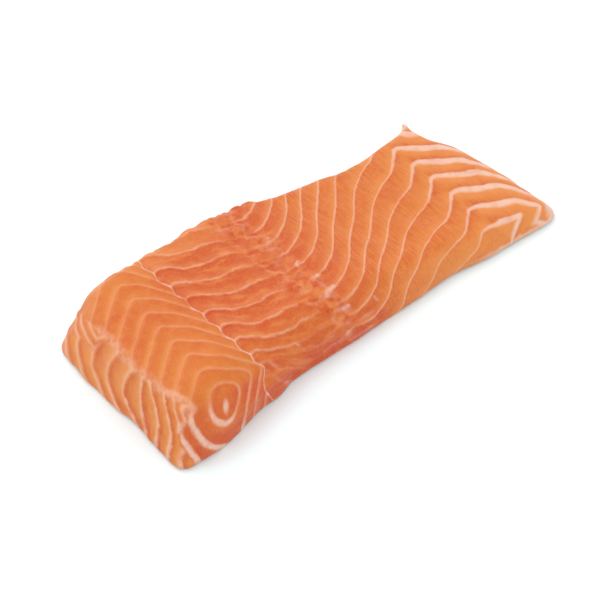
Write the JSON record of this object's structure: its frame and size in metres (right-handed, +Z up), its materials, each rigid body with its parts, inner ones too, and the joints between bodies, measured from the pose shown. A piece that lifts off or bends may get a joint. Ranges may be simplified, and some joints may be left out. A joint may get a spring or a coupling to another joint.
{
  "type": "raw salmon fillet",
  "caption": "Raw skinless salmon fillet portion, thick at the back and thin at the belly, with stepped flakes and a seam on top.",
  "frame": {"origin": "centre of the bounding box in plan, on the table plane the fillet lies on", "axes": "+X from the thick back of the fish to the thin belly, +Y along the fish, +Z up through the thickness"},
  "size_m": [0.1592, 0.0664, 0.0223],
  "materials": {
    "salmon_flesh": "moist, soft satin"
  },
  "bodies": {
    "root": {"salmon_fillet": "salmon_flesh"}
  },
  "joints": []
}
